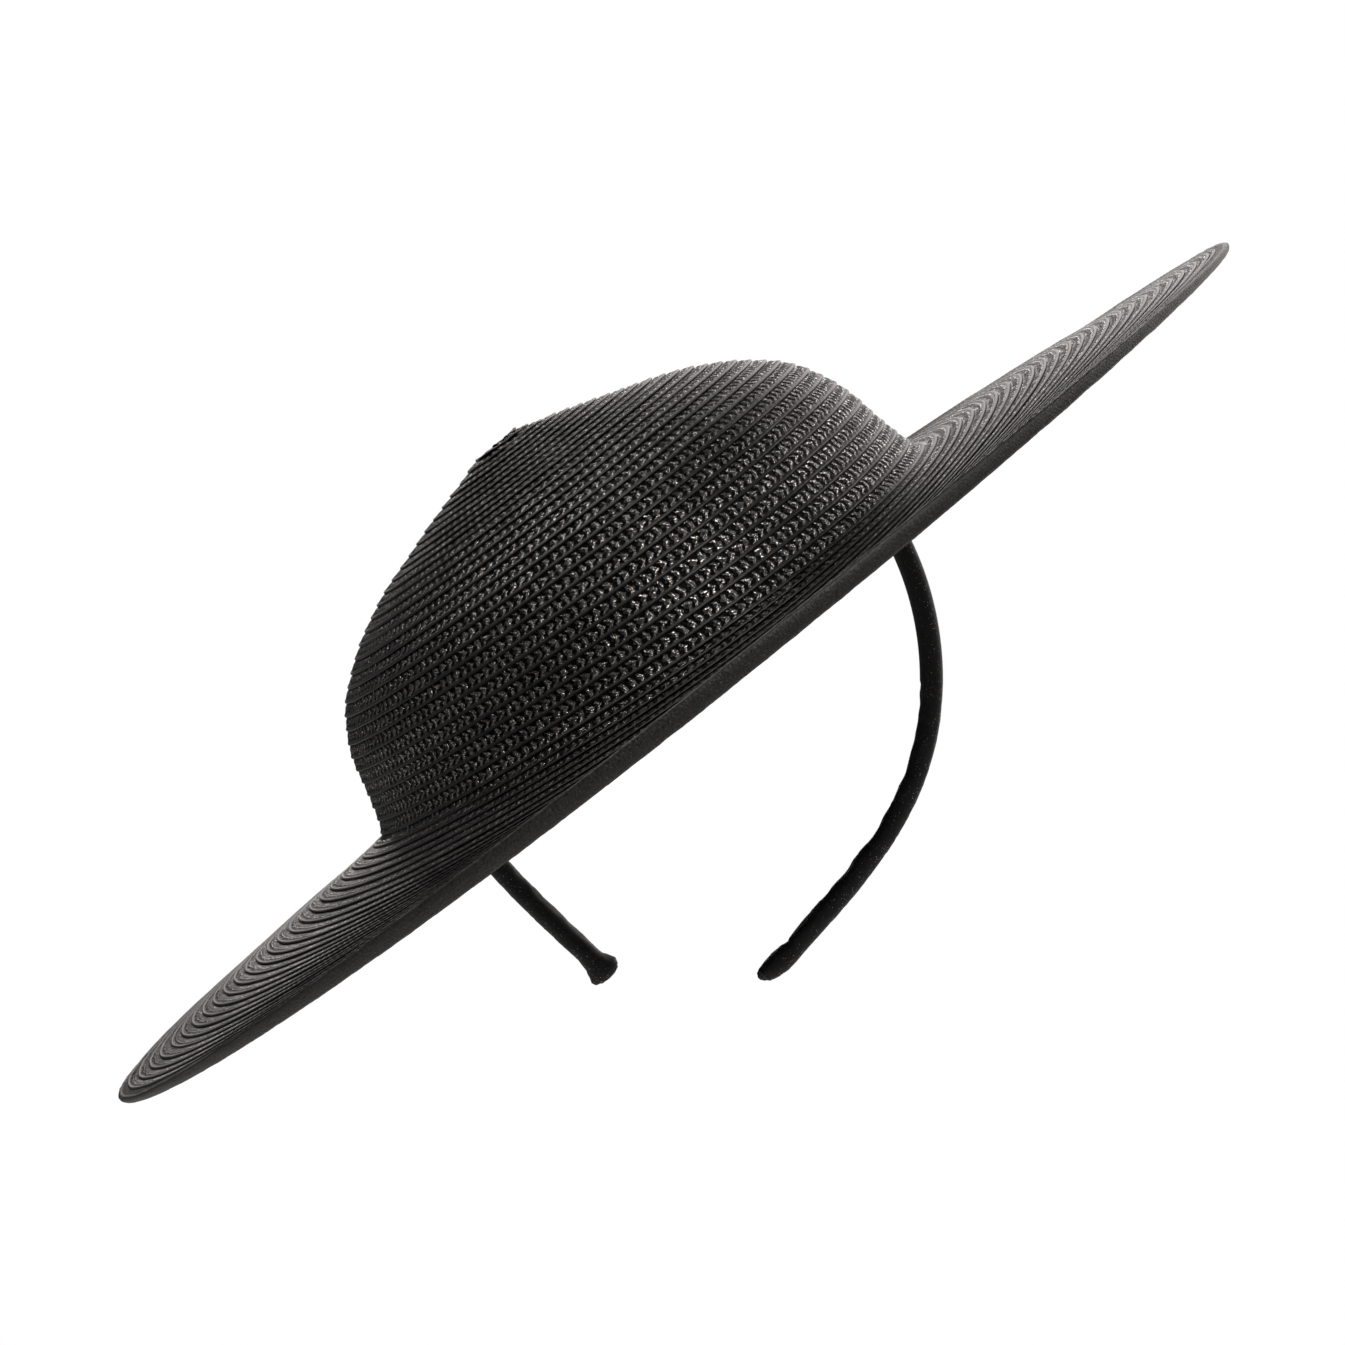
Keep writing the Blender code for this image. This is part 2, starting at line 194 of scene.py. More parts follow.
# Section of one turn of braid: how far across the row, height over the outer face (mm),
# share of the stitch relief, and the place in the braid's pattern
ROW_SECTION = [
    ("tucked edge", -0.34, -0.66, 0.0, 0.00),
    ("lace top", 0.02, -0.52, 0.5, 0.05),
    ("lace", 0.30, -0.32, 1.0, 0.30),
    ("lace foot", 0.69, -0.22, 0.8, 0.69),
    ("ridge foot", 0.78, -0.10, 0.4, 0.78),
    ("ridge", 0.84, 0.06, 0.2, 0.84),
    ("ridge front", 0.92, 0.05, 0.2, 0.92),
    ("edge", 0.985, -0.16, 0.2, 1.00),
    ("under edge", 0.95, -0.60, 0.0, 1.07),
    ("under side", 0.35, -1.25, 0.3, 1.65),
    ("tucked edge", -0.34, -0.66, 0.0, 2.12),
]
# The sewing is uneven: slow and quick waves, how far they move the braid, and more of both
# in the first rows. The very middle stays calm.
SLOW_WAVES = (2.2, 0.61)
QUICK_WAVES = (90.0, 3.7)
SLOW_SWAY = 0.00022
QUICK_LIFT = 0.00008
QUICK_SLIP = 0.00012
TIP_LUMPS = 0.00028
CALM_RADIUS = 0.003
# The braid's end thins out at this depth, over the last third of its width
END_DEPTH = 0.0011
END_TAPER = 3.0

rim_low, rim_high = (Vector(corner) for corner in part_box("rim_edge"))
hat_place = Matrix.Translation((rim_low + rim_high) / 2.0) @ Matrix.Rotation(-HAT_TILT, 4, "Y")


class Outline:
    """A smooth line through points of radius, height and shares of twist and lean, with its length."""

    def __init__(self, points):
        self.points = [points[0]]
        ends = [points[0] * 2.0 - points[1]] + points + [points[-1] * 2.0 - points[-2]]
        for a, b, c, d in zip(ends, ends[1:], ends[2:], ends[3:]):
            for step in range(1, OUTLINE_STEPS + 1):
                t = step / OUTLINE_STEPS
                self.points.append(0.5 * (b * 2.0 + (c - a) * t + (a * 2.0 - b * 5.0 + c * 4.0 - d) * t ** 2
                                          + (b * 3.0 - a - c * 3.0 + d) * t ** 3))
        self.lengths = [0.0]
        for before, after in zip(self.points, self.points[1:]):
            self.lengths.append(self.lengths[-1] + (after - before).xy.length)

    def at(self, length):
        """Point at a length from the start, and the direction straight out of the straw there."""
        high = min(max(bisect.bisect_right(self.lengths, length), 1), len(self.lengths) - 1)
        before, after = self.points[high - 1], self.points[high]
        share = (length - self.lengths[high - 1]) / (self.lengths[high] - self.lengths[high - 1])
        along = (after - before).xy.normalized()
        return before + (after - before) * share, Vector((-along.y, along.x))


def cut_through(dip):
    """Outline of the hat where this share of the dip applies, and the crown's part of its length."""
    _, _, _, foot_front, foot_twist, foot_lean = BRIM_OUTLINE[0]
    foot_height = BRIM_RISE + STRAW_WALL / 2.0
    foot_drop = BRIM_RISE * (1.0 - foot_front) * dip
    crown = [Vector((CROWN_RADIUS * out, foot_height + CROWN_HEIGHT * up - foot_drop * share,
                     share * foot_twist, share * foot_lean))
             for _, out, up, share in CROWN_OUTLINE]
    brim = [Vector((CROWN_RADIUS + (RIM_RADIUS - CROWN_RADIUS) * out,
                    BRIM_RISE * (side + (front - side) * dip) + STRAW_WALL / 2.0, twist, lean))
            for _, out, side, front, twist, lean in BRIM_OUTLINE[1:]]
    return Outline(crown + brim), Outline(crown).lengths[-1]


hat_cuts = [cut_through(index / CUTS) for index in range(CUTS + 1)]
side_outline, side_crown_length = hat_cuts[0]
CROWN_ROWS = round(side_crown_length / ROW_PITCH)
BRIM_ROWS = round((side_outline.lengths[-1] - ROLL_WIDTH - side_crown_length) / ROW_PITCH)
ALL_ROWS = CROWN_ROWS + BRIM_ROWS
FOOT_ROWS = CROWN_ROWS + FOOT_PHASE


def front_share(angle):
    """Share of the front's shape at an angle about the hat's axis: none at the sides and back."""
    return max(-math.sin(angle), 0.0) ** DIP_POWER


def straw_at(rows, dip):
    """Outline point so many rows from the tip, and the direction straight out of the straw."""
    low = min(int(dip * CUTS), CUTS - 1)
    found = []
    for outline, crown_length in hat_cuts[low:low + 2]:
        brim_pitch = (outline.lengths[-1] - ROLL_WIDTH - crown_length) / (ALL_ROWS - FOOT_ROWS)
        length = min(rows, FOOT_ROWS) * crown_length / FOOT_ROWS + max(rows - FOOT_ROWS, 0.0) * brim_pitch
        found.append(outline.at(max(length, 0.0)))
    return [first.lerp(second, dip * CUTS - low) for first, second in zip(*found)]


def on_hat(radius, angle, height, twist, lean):
    """Place in the scene of a point given about the hat's own axis."""
    lift = -RIM_TWIST * math.sin(2.0 * angle) * twist - SIDE_LEAN * math.cos(angle) * lean
    return hat_place @ Vector((radius * math.cos(angle), radius * math.sin(angle), height + lift))


def braid_point(row, turn, across, lift):
    """Place of a point of the braid: its row, the share of a turn, across the row, and over it."""
    angle = math.pi + 2.0 * math.pi * turn
    start = row + turn
    width = min(ALL_ROWS - start, 1.0)
    spot = 0.0 if row == 0 and across < 0.0 else start + across * width
    place, outward = straw_at(spot, front_share(angle))
    around, onward = SLOW_WAVES
    slow = noise.noise(Vector((math.cos(angle) * around, math.sin(angle) * around, start * onward)))
    around, onward = QUICK_WAVES
    quick = noise.noise(Vector((math.cos(angle) * place.x * around, math.sin(angle) * place.x * around,
                                row * onward)))
    calm = min(place.x / CALM_RADIUS, 1.0)
    lumps = TIP_LUMPS * max(TIP_ROWS + 1.0 - start, 0.0) / TIP_ROWS
    lift = (lift + END_DEPTH) * min(width * END_TAPER, 1.0) - END_DEPTH
    lift += calm * ((SLOW_SWAY + lumps) * slow + (QUICK_LIFT + lumps) * quick)
    slip = calm * ((SLOW_SWAY + lumps) * slow + (QUICK_SLIP + lumps) * quick)
    flat = place.xy + outward * lift + Vector((outward.y, -outward.x)) * slip
    return on_hat(max(flat.x, 0.0), angle, flat.y, place.z, place.w)


def link_piece(name, bm):
    """Turns a finished bmesh into a smooth object at the origin."""
    mesh = bpy.data.meshes.new(name)
    bm.to_mesh(mesh)
    bm.free()
    mesh.shade_smooth()
    piece = bpy.data.objects.new(name, mesh)
    bpy.context.scene.collection.objects.link(piece)
    return piece


def sew_rows(name, first, last, columns_per_stitch):
    """Winds the braid from one row to another and gives it its pattern coordinates."""
    bm = bmesh.new()
    pattern = bm.loops.layers.uv.new("braid")
    tiers = len(ROW_SECTION) - 1
    for row in range(first, last):
        stitches = max(round(2.0 * math.pi * straw_at(row + 1.0, 0.0)[0].x / STITCH), FEWEST_STITCHES)
        columns = stitches * columns_per_stitch
        grid = bmesh.ops.create_grid(bm, x_segments=columns, y_segments=tiers, size=0.5)["verts"]
        for face in {face for vert in grid for face in vert.link_faces}:
            for loop in face.loops:
                tier = round((loop.vert.co.y + 0.5) * tiers)
                loop[pattern].uv = ((loop.vert.co.x + 0.5) * stitches + row * PATTERN_SHIFT,
                                    ROW_SECTION[tier][4])
        for vert in grid:
            turn = vert.co.x + 0.5
            _, across, lift, relief, _ = ROW_SECTION[round((vert.co.y + 0.5) * tiers)]
            wave = math.cos(2.0 * math.pi * (turn * stitches + STITCH_LEAN * across))
            vert.co = braid_point(row, turn, across, lift * MILLIMETRE + STITCH_DEPTH * relief * wave)
    bmesh.ops.remove_doubles(bm, verts=bm.verts, dist=MERGE_DISTANCE)
    bmesh.ops.holes_fill(bm, edges=bm.edges, sides=0)
    bmesh.ops.recalc_face_normals(bm, faces=bm.faces)
    return link_piece(name, bm)


class Value:
    """A socket that can be used in expressions, each of which adds its Math nodes."""

    def __init__(self, shop, socket):
        self.shop = shop
        self.socket = socket

    def math(self, operation, *others):
        return self.shop.add("ShaderNodeMath", {"operation": operation}, [self, *others])

    def zigzag(self):
        """Goes from 0 to 1 and back again each time the value grows by 1."""
        return self.math("PINGPONG", 0.5) * 2.0

    def __add__(self, other):
        return self.math("ADD", other)

    def __radd__(self, other):
        return self.math("ADD", other)

    def __sub__(self, other):
        return self.math("SUBTRACT", other)

    def __rsub__(self, other):
        return self.shop.add("ShaderNodeMath", {"operation": "SUBTRACT"}, [other, self])

    def __mul__(self, other):
        return self.math("MULTIPLY", other)

    def __rmul__(self, other):
        return self.math("MULTIPLY", other)


class Finish:
    """One material, built from expressions on its sockets."""

    def __init__(self, name, specular):
        self.material = bpy.data.materials.new(name)
        self.material.use_nodes = True
        self.tree = self.material.node_tree
        self.shader = self.tree.nodes["Principled BSDF"]
        self.shader.inputs["Specular IOR Level"].default_value = specular

    def add(self, kind, settings, sockets, output=0):
        """Adds a node: its settings first, then the values or links of its sockets."""
        node = self.tree.nodes.new(kind)
        for key, value in settings.items():
            setattr(node, key, value)
        items = sockets.items() if isinstance(sockets, dict) else enumerate(sockets)
        for key, value in items:
            if isinstance(value, Value):
                self.tree.links.new(value.socket, node.inputs[key])
            else:
                node.inputs[key].default_value = value
        return Value(self, node.outputs[output])

    def feed(self, name, value):
        """Links a value to one of the shader's sockets."""
        self.tree.links.new(value.socket, self.shader.inputs[name])

    def pattern(self, name):
        """The piece's own pattern coordinates."""
        return self.add("ShaderNodeUVMap", {"uv_map": name}, [])

    def part(self, vector, axis):
        """One coordinate of a vector: 0 for the first, 1 for the second."""
        return self.add("ShaderNodeSeparateXYZ", {}, [vector], axis)

    def stretch(self, vector, scale):
        """Scales each coordinate of a vector by its own share."""
        return self.add("ShaderNodeVectorMath", {"operation": "MULTIPLY"}, [vector, scale])

    def smooth(self, value, low, high):
        """Goes from 0 to 1 as a value goes from low to high."""
        return self.add("ShaderNodeMapRange", {"interpolation_type": "SMOOTHSTEP"},
                        [value, low, high, 0.0, 1.0])

    def mix(self, factor, low, high):
        """Blends two colours, each a tuple or a value."""
        return self.add("ShaderNodeMix", {"data_type": "RGBA"}, {0: factor, 6: low, 7: high}, 2)

    def grain(self, scale, detail, vector=None):
        """Fractal noise from 0 to 1, over the piece's own place unless a vector is given."""
        place = vector or self.add("ShaderNodeTexCoord", {}, [], 3)
        return self.add("ShaderNodeTexNoise", {}, {"Vector": place, "Scale": scale, "Detail": detail})

    def bump(self, height, distance):
        """Feeds a height in units of the distance to the shader's normal."""
        self.feed("Normal", self.add("ShaderNodeBump", {}, {"Distance": distance, "Height": height}))


# Finish of the straw: glossy strands cross in arrow shapes with holes between them, painted black as shade,
# beside a smooth ridge. Here and there a strand catches the light.
STRAW_BLACK = (0.0004, 0.0004, 0.0004, 1.0)
STRAW_COLOUR = (0.0165, 0.0151, 0.0143, 1.0)
STRAW_GLINT = (0.92, 0.90, 0.88, 1.0)
STRAW_ROUGHNESS = 0.42

straw = Finish("straw braid", 0.62)
braid = straw.pattern("braid")
along = straw.part(braid, 0)
fold = straw.part(braid, 1).math("PINGPONG", 1.06)
sway = straw.grain(1.0, 1.0, straw.stretch(braid, (0.9, 2.3, 1.0))) - 0.5
fibre = straw.grain(1.0, 2.0, straw.stretch(braid, (2.2, 46.0, 1.0)))
rough_cut = straw.grain(1.0, 1.0, straw.stretch(braid, (6.0, 9.0, 1.0)))
cloud = straw.grain(22.0, 2.0)
lean = (fold - 0.36).math("ABSOLUTE") * STITCH_LEAN
over = 1.0 - straw.smooth((along + lean + sway * 1.1).zigzag(), 0.24, 0.72)
under = (1.0 - straw.smooth((along - lean + sway * 0.8 + 0.5).zigzag(), 0.20, 0.60)) * 0.55
weave = over.math("MAXIMUM", under)
stitch = straw.add("ShaderNodeTexWhiteNoise", {"noise_dimensions": "1D"},
                   {1: (along + lean + 0.5).math("FLOOR")})
lace = straw.smooth(fold, -0.02, 0.05) * (1.0 - straw.smooth(fold + over * 0.06, 0.75, 0.81))
crest = straw.smooth(weave + (rough_cut - 0.5) * 0.7 + (stitch - 0.5) * 0.36, 0.22, 0.80)
# Painted shade: the holes between the strands are painted black and made black metal, so they reflect
# nothing.
shaded_holes = lace * (1.0 - crest) * 0.88
glint = lace * straw.smooth(rough_cut, 0.50, 0.58) * straw.smooth(weave, 0.55, 0.85)
# Painted shade: the straw is made darker, and dark metal, where each row tucks under the row above and under
# its own edge.
groove_shade = 1.0 - straw.smooth(fold, 0.05, 0.16) * (1.0 - straw.smooth(fold, 0.97, 1.02))
straw_tone_and_shade = ((1.0 - shaded_holes) * (0.15 + fibre * 0.55 + rough_cut * 0.60)
         * (0.50 + stitch * 0.70) * (0.60 + cloud * 0.80) * (0.90 + lace * 0.15))
straw_colour = straw.mix(straw_tone_and_shade * (1.0 - groove_shade * 0.8), STRAW_BLACK, STRAW_COLOUR)
straw.feed("Base Color", straw.mix(glint * 0.8, straw_colour, STRAW_GLINT))
straw.feed("Metallic", shaded_holes.math("MAXIMUM", groove_shade * 0.85).math("MAXIMUM", glint))
straw.feed("Roughness", STRAW_ROUGHNESS + (fibre - 0.5) * 0.14 - (1.0 - lace) * 0.04 - glint * 0.29)
straw.bump(lace * weave + (1.0 - lace) * 0.9 + fibre * 0.12 + lace * rough_cut * 0.55, 0.00045)

tip_turns = sew_rows("tip_turns", 0, TIP_ROWS, TIP_COLUMNS)
tip_turns.data.materials.append(straw.material)
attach(tip_turns, "root")
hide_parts("tip_coil")

# Crown: the braid goes on from the tip, down over the shoulder to the foot, in level turns.
# The lace half of each turn shows beside its smooth edge, which casts a dark line that the straw's finish
# deepens with painted shade.
CROWN_COLUMNS = 4
CROWN_TOP_ROWS = CROWN_ROWS // 2 + TIP_ROWS

crown_top = sew_rows("crown_top_rows", TIP_ROWS, CROWN_TOP_ROWS, CROWN_COLUMNS)
crown_side = sew_rows("crown_side_rows", CROWN_TOP_ROWS, CROWN_ROWS, CROWN_COLUMNS)
for piece in (crown_top, crown_side):
    piece.data.materials.append(straw.material)
    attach(piece, "root")
    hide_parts("crown")

# Brim: the same braid goes on without a break from the crown's foot out to the rim, in flat
# turns that are sewn edge over edge. The last turn runs out under the one before it.
BRIM_COLUMNS = 2
# Piece, and the rows of the brim from which and to which it goes
BRIM_PIECES = [
    ("brim_inner_rows", 0, 10),
    ("brim_middle_rows", 10, 18),
    ("brim_outer_rows", 18, BRIM_ROWS),
]

for name, first, last in BRIM_PIECES:
    piece = sew_rows(name, CROWN_ROWS + first, CROWN_ROWS + last, BRIM_COLUMNS)
    piece.data.materials.append(straw.material)
    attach(piece, "root")
    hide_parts("brim")

# Rim: the last turn of finer braid is rolled under and sewn down, which makes a thick edge.
# It has a flat top with a smooth ridge, and an upright face that is tallest at the front.
EDGE_HALF_HEIGHT = 0.0012
EDGE_FRONT_EXTRA = 0.0016
EDGE_FRONT_DROP = 0.0003
# The roll is a little lower than that at the sides and back, and swells later to the front
ROLL_HALF_HEIGHT = 0.0010
ROLL_SWELL_POWER = 1.6
ROLL_INSET = 0.0002
ROLL_COLUMN = 0.0011
# Half height (mm) with which the pattern is measured round the roll
ROLL_PATTERN_HEIGHT = 1.9
# Uneven surface: large and small lumps, how many there are, and how high they are
ROLL_LUMP_WAVES = 30.0
ROLL_SMALL_WAVES = 7.0
ROLL_LUMPS = 0.00014
ROLL_SMALL_LUMPS = 0.00010
# How far in from the rim (mm), height as a share of the half height, and how much of the
# front's extra height the point takes
ROLL_SECTION = [
    ("inner under side", 5.60, -0.60, 0.30),
    ("inner edge", 5.60, 0.55, 0.10),
    ("tucked top", 4.60, 0.86, 0.10),
    ("flat", 3.20, 0.86, 0.35),
    ("flat end", 2.10, 0.86, 0.70),
    ("ridge foot", 1.60, 0.88, 0.90),
    ("ridge top", 1.25, 0.98, 1.00),
    ("ridge", 0.85, 0.98, 1.00),
    ("ridge front", 0.42, 0.80, 1.00),
    ("face top", 0.12, 0.50, 1.00),
    ("face", 0.02, 0.14, 1.00),
    ("face middle", 0.20, -0.30, 1.00),
    ("face foot", 0.62, -0.76, 1.00),
    ("under edge", 1.30, -1.00, 1.00),
    ("under side", 2.60, -1.00, 1.00),
]

roll_bm = bmesh.new()
roll_uv = roll_bm.loops.layers.uv.new("mesh")
roll_columns = round(2.0 * math.pi * RIM_RADIUS / ROLL_COLUMN)
roll_tiers = len(ROLL_SECTION)
roll_around = [0.0]
for before, after in zip(ROLL_SECTION, ROLL_SECTION[1:] + ROLL_SECTION[:1]):
    rise = (after[2] - before[2]) * ROLL_PATTERN_HEIGHT
    roll_around.append(roll_around[-1] + math.hypot(after[1] - before[1], rise))
roll_grid = bmesh.ops.create_grid(roll_bm, x_segments=roll_columns, y_segments=roll_tiers, size=0.5)["verts"]
for face in roll_bm.faces:
    for loop in face.loops:
        tier = round((loop.vert.co.y + 0.5) * roll_tiers)
        loop[roll_uv].uv = ((loop.vert.co.x + 0.5) * 2.0 * math.pi * RIM_RADIUS / MILLIMETRE,
                            roll_around[tier])
for vert in roll_grid:
    angle = math.pi + 2.0 * math.pi * (vert.co.x + 0.5)
    share = front_share(angle)
    _, inwards, up, grow = ROLL_SECTION[round((vert.co.y + 0.5) * roll_tiers) % roll_tiers]
    fullest = EDGE_HALF_HEIGHT + EDGE_FRONT_EXTRA * share
    swell = (EDGE_HALF_HEIGHT + EDGE_FRONT_EXTRA - ROLL_HALF_HEIGHT) * share ** ROLL_SWELL_POWER
    lowered = fullest - ROLL_HALF_HEIGHT - swell + EDGE_FRONT_DROP * share
    spot = Vector((math.cos(angle) * ROLL_LUMP_WAVES, math.sin(angle) * ROLL_LUMP_WAVES, inwards + up * 2.0))
    rough = ROLL_LUMPS * noise.noise(spot) + ROLL_SMALL_LUMPS * noise.noise(spot * ROLL_SMALL_WAVES)
    height = up * (ROLL_HALF_HEIGHT + swell * grow) - lowered * grow + rough
    vert.co = on_hat(RIM_RADIUS - ROLL_INSET - inwards * MILLIMETRE + rough, angle, height, 1.0, 0.0)
bmesh.ops.remove_doubles(roll_bm, verts=roll_bm.verts, dist=MERGE_DISTANCE)
bmesh.ops.recalc_face_normals(roll_bm, faces=roll_bm.faces)
rim_roll = link_piece("rim_roll", roll_bm)

# Finish of the rim: fine knots, a smooth ridge with a painted highlight, an upright face darkened with
# painted shade, and a few pale specks of the straw
ROLL_BLACK = (0.0010, 0.0010, 0.0010, 1.0)
ROLL_COLOUR = (0.0200, 0.0184, 0.0175, 1.0)
ROLL_SPECK = (0.095, 0.090, 0.086, 1.0)
roll_at = {row[0]: length for row, length in zip(ROLL_SECTION, roll_around)}

roll = Finish("rolled rim braid", 0.7)
roll_place = roll.pattern("mesh")
roll_along = roll.part(roll_place, 0)
roll_across = roll.part(roll_place, 1)
roll_sway = roll.grain(0.5, 3.0, roll_place) - 0.5
roll_fleck = roll.grain(1.3, 3.0, roll_place)
rising = ((roll_along + roll_across) * 0.62 + roll_sway * 3.0).zigzag()
falling = ((roll_along - roll_across) * 0.62 + roll_sway * 3.0).zigzag()
rising_knots = 1.0 - roll.smooth(rising, 0.15, 0.75)
falling_knots = (1.0 - roll.smooth(falling, 0.15, 0.75)) * 0.8
knots = rising_knots.math("MAXIMUM", falling_knots)
ridge = (roll.smooth(roll_across, roll_at["ridge foot"] - 0.3, roll_at["ridge foot"] + 0.2)
         * (1.0 - roll.smooth(roll_across, roll_at["ridge front"], roll_at["face top"] + 0.3)))
face_shade = roll.smooth(roll_across, roll_at["face top"], roll_at["face middle"])
specks = roll.smooth(roll.grain(2.1, 1.0, roll_place), 0.64, 0.72) * roll.smooth(roll_fleck, 0.42, 0.58)
roll_cover = ridge + (1.0 - ridge) * (0.30 + knots * 0.55)
# Painted light: the ridge is painted lighter as a highlight, and the upright face darker as shade.
roll_tone_and_light = roll_cover * roll.smooth(roll_fleck, 0.32, 0.72) * (1.0 + ridge * 0.6 - face_shade * 0.6)
roll_colour = roll.mix(roll_tone_and_light, ROLL_BLACK, ROLL_COLOUR)
roll.feed("Base Color", roll.mix(specks * (1.0 - ridge * 0.6), roll_colour, ROLL_SPECK))
roll.feed("Roughness", 0.50 - ridge * 0.10 + roll_fleck * 0.1)
roll.bump((1.0 - ridge) * knots * 0.8 + ridge + roll_fleck * 0.9, 0.00022)
rim_roll.data.materials.append(roll.material)
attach(rim_roll, "root")
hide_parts("rim_edge")

# Headband: a springy steel hoop with padding in a tube of black stretch cloth, in which a
# fine metal thread glitters. The seam runs inside, puckered on one arm, and the ends are tied off.
band_low, band_high = (Vector(corner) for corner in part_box("headband"))
BAND_THICKNESS = band_high.z
BAND_WIDTH = band_high.y - band_low.y
BAND_HALF_WIDTH = band_high.x - BAND_THICKNESS / 2.0
BAND_RISE = 0.0785
BAND_MIDDLE = -(BAND_RISE - BAND_THICKNESS / 2.0)
# Each arm: how far its end lies under the widest place and from the middle, its slope, and
# how far its curve reaches on from the widest place and to the end
LEFT_ARM = (0.0835, 0.0206, math.radians(43.0), 0.040, 0.052)
RIGHT_ARM = (0.0849, 0.0216, math.radians(47.0), 0.034, 0.042)
# Mesh: a step along the band, the points round it, the points of an arm's curve, and the
# short stretch at each end that has finer steps
BAND_STEP = 0.0011
BAND_CORNERS = 40
ARM_POINTS = 1200
END_STRETCH = 0.0030
END_STEPS = 14
# The section is a soft oval, less rounded for a lower power
BAND_ROUNDING = 0.8
# Folds of the cloth, wide and narrow: how many for each metre and round the band, and how
# high they are, with more slack towards the head. The arch has hardly any.
FOLD_WAVES = (260.0, 1.4)
NARROW_WAVES = (900.0, 3.0)
CLOTH_SLACK = 0.00010
INNER_SLACK = 0.00022
NARROW_SLACK = 0.00010

# Ends of the headband: distance from the end, reach towards the head and away from it
# (shares of the thickness), and width (share of the band's width)
LEFT_END = [
    ("end", 0.00, 0.24, 0.20, 0.30),
    ("rounding", 0.10, 0.52, 0.54, 0.66),
    ("corner", 0.26, 0.66, 0.79, 0.86),
    ("flare", 0.42, 0.71, 0.81, 0.92),
    ("flare start", 0.69, 0.62, 0.70, 0.98),
    ("neck", 1.05, 0.50, 0.55, 1.00),
    ("pinch", 1.50, 0.49, 0.49, 1.00),
    ("arm", 2.20, 0.50, 0.50, 1.00),
]
RIGHT_END = [
    ("end", 0.00, 0.24, -0.04, 0.24),
    ("lip", 0.12, 0.40, 0.12, 0.52),
    ("rounding", 0.32, 0.48, 0.30, 0.76),
    ("taper", 0.64, 0.51, 0.43, 0.92),
    ("wrap middle", 1.12, 0.52, 0.52, 0.98),
    ("wrap", 1.66, 0.49, 0.53, 1.00),
    ("notch", 1.94, 0.36, 0.52, 0.95),
    ("before notch", 2.20, 0.45, 0.51, 1.00),
    ("arm", 2.60, 0.50, 0.50, 1.00),
]
# Share of the right arm's length from its widest place, and reach towards the head
RIGHT_PUCKERS = [
    ("seam start", 0.20, 0.50),
    ("first dent", 0.30, 0.46),
    ("fold", 0.38, 0.49),
    ("second dent", 0.47, 0.42),
    ("bulge", 0.54, 0.53),
    ("third dent", 0.61, 0.47),
    ("last fold", 0.67, 0.50),
]


def along_table(rows, place, column):
    """Value of a table at a place, eased from row to row."""
    if place <= rows[0][1]:
        return rows[0][column]
    for low, high in zip(rows, rows[1:]):
        if place <= high[1]:
            share = (place - low[1]) / (high[1] - low[1])
            share = share * share * (3.0 - 2.0 * share)
            return low[column] + (high[column] - low[column]) * share
    return rows[-1][column]


def arm_stations(side):
    """Points along the middle of one arm, with direction, reach and width, and signed length."""
    drop, spread, slope, side_reach, tip_reach = RIGHT_ARM if side > 0 else LEFT_ARM
    wide = Vector((side * BAND_HALF_WIDTH, 0.0, BAND_MIDDLE))
    end = Vector((side * spread, 0.0, BAND_MIDDLE - drop))
    back = Vector((side * math.cos(slope), 0.0, math.sin(slope)))
    curve = geometry.interpolate_bezier(wide, wide - Vector((0.0, 0.0, side_reach)),
                                        end + back * tip_reach, end, ARM_POINTS)
    lengths = [0.0]
    for before, after in zip(curve, curve[1:]):
        lengths.append(lengths[-1] + (after - before).length)
    total = lengths[-1]
    ends = RIGHT_END if side > 0 else LEFT_END
    places = [BAND_STEP * step for step in range(1, int((total - END_STRETCH) / BAND_STEP))]
    places += [total - END_STRETCH * (1.0 - step / END_STEPS) for step in range(END_STEPS + 1)]
    stations = []
    for place in places:
        index = min(bisect.bisect_left(lengths, place), len(curve) - 1)
        from_end = (total - place) / BAND_THICKNESS
        reach = [along_table(ends, from_end, column) for column in (2, 3, 4)]
        if side > 0 and from_end > ends[-1][1]:
            reach[0] = along_table(RIGHT_PUCKERS, place / total, 2)
        before, after = curve[max(index - 1, 0)], curve[min(index + 1, len(curve) - 1)]
        stations.append((curve[index], (after - before).normalized(), reach, side * place))
    return stations


arch_steps = round(math.pi * (BAND_HALF_WIDTH + BAND_RISE) / 2.0 / (2.0 * BAND_STEP))
band_line = [(point, -along, reach, place) for point, along, reach, place in arm_stations(-1.0)[::-1]]
for step in range(arch_steps + 1):
    angle = math.pi * (1.0 - step / arch_steps)
    point = Vector((BAND_HALF_WIDTH * math.cos(angle), 0.0, BAND_MIDDLE + BAND_RISE * math.sin(angle)))
    along = Vector((BAND_HALF_WIDTH * math.sin(angle), 0.0, -BAND_RISE * math.cos(angle))).normalized()
    band_line.append((point, along, [0.5, 0.5, 1.0], 0.0))
band_line += arm_stations(1.0)

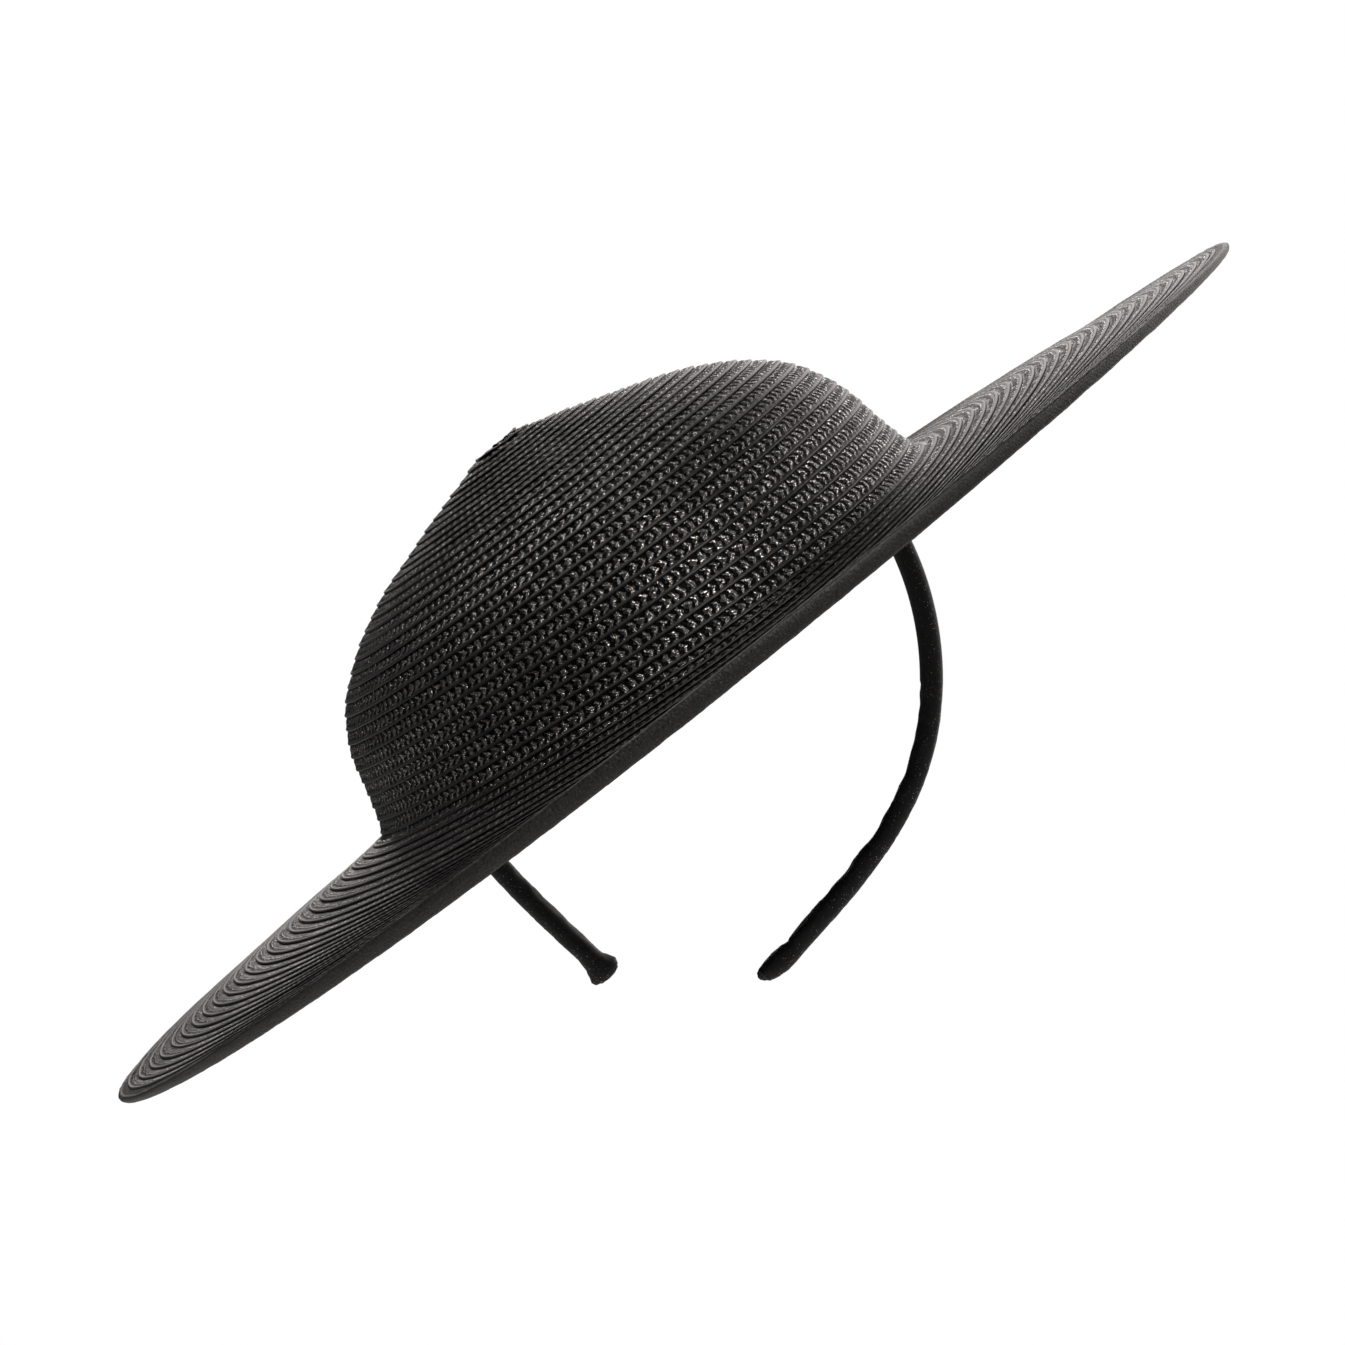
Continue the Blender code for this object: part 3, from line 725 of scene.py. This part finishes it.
band_bm = bmesh.new()
band_uv = band_bm.loops.layers.uv.new("cover")
band_steps = len(band_line) - 1
band_lengths = [0.0]
for before, after in zip(band_line, band_line[1:]):
    band_lengths.append(band_lengths[-1] + (after[0] - before[0]).length)
band_grid = bmesh.ops.create_grid(band_bm, x_segments=band_steps, y_segments=BAND_CORNERS, size=0.5)["verts"]
for face in band_bm.faces:
    for loop in face.loops:
        length = band_lengths[round((loop.vert.co.x + 0.5) * band_steps)]
        loop[band_uv].uv = (length / MILLIMETRE, loop.vert.co.y + 0.5)
for vert in band_grid:
    point, along, (inwards, outwards, width), place = band_line[round((vert.co.x + 0.5) * band_steps)]
    angle = 2.0 * math.pi * (vert.co.y + 0.5)
    outer = Vector((0.0, 1.0, 0.0)).cross(along) * -1.0
    depth = math.copysign(abs(math.cos(angle)) ** BAND_ROUNDING, math.cos(angle))
    across = math.copysign(abs(math.sin(angle)) ** BAND_ROUNDING, math.sin(angle))
    onward, around = FOLD_WAVES
    folds = noise.noise(Vector((place * onward, math.cos(angle) * around, math.sin(angle) * around)))
    onward, around = NARROW_WAVES
    narrow = noise.noise(Vector((place * onward, math.cos(angle) * around, math.sin(angle) * around)))
    on_arm = place != 0.0
    slack = CLOTH_SLACK + INNER_SLACK * max(0.0, -depth) * on_arm
    swell = 1.0 + (folds * slack + narrow * NARROW_SLACK * on_arm - slack) / (BAND_THICKNESS / 2.0)
    vert.co = (point + outer * BAND_THICKNESS * (outwards - inwards) / 2.0
               + outer * BAND_THICKNESS * (outwards + inwards) / 2.0 * depth * swell
               + Vector((0.0, BAND_WIDTH * width / 2.0 * across * swell, 0.0)))
bmesh.ops.remove_doubles(band_bm, verts=band_bm.verts, dist=MERGE_DISTANCE)
bmesh.ops.holes_fill(band_bm, edges=band_bm.edges, sides=0)
bmesh.ops.recalc_face_normals(band_bm, faces=band_bm.faces)
band_cover = link_piece("band_tube", band_bm)

# Finish of the cloth: a fine knit, with bright bits of thread mostly on the outer side
CLOTH_BLACK = (0.0045, 0.0045, 0.0048, 1.0)
CLOTH_GLITTER = (0.62, 0.61, 0.60, 1.0)

cloth = Finish("glitter stretch cloth", 0.35)
cloth_place = cloth.pattern("cover")
cloth_length = cloth.part(cloth_place, 0)
cloth_around = cloth.part(cloth_place, 1)
knit_along = cloth_length * 2.3
knit_around = cloth_around * 58.0
knit = cloth.add("ShaderNodeCombineXYZ", {}, [knit_along, knit_around, 0.0])
thread_gap = cloth.add("ShaderNodeTexVoronoi", {}, {"Vector": knit, "Scale": 1.0}, 0)
thread_luck = cloth.add("ShaderNodeTexVoronoi", {}, {"Vector": knit, "Scale": 1.0}, 1)
outer_side = cloth.smooth((cloth_around * 2.0 - 1.0).math("ABSOLUTE"), 0.30, 0.72)
patch_place = cloth.add("ShaderNodeCombineXYZ", {}, [cloth_length, cloth_around * 22.0, 0.0])
patches = cloth.smooth(cloth.grain(0.16, 2.0, patch_place), 0.36, 0.56)
glitter = (cloth.smooth(cloth.part(thread_luck, 0), 0.70, 0.90) * (1.0 - cloth.smooth(thread_gap, 0.16, 0.34))
           * (0.10 + outer_side * patches))
cloth.feed("Base Color", cloth.mix(glitter, CLOTH_BLACK, CLOTH_GLITTER))
cloth.feed("Roughness", 0.62 - glitter * 0.34)
knit_relief = knit_along.math("PINGPONG", 0.5) + knit_around.math("PINGPONG", 0.5)
cloth.bump(knit_relief * 0.6 + cloth.grain(900.0, 2.0) * 0.8, 0.00010)
band_cover.data.materials.append(cloth.material)
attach(band_cover, "root")
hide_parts("headband")
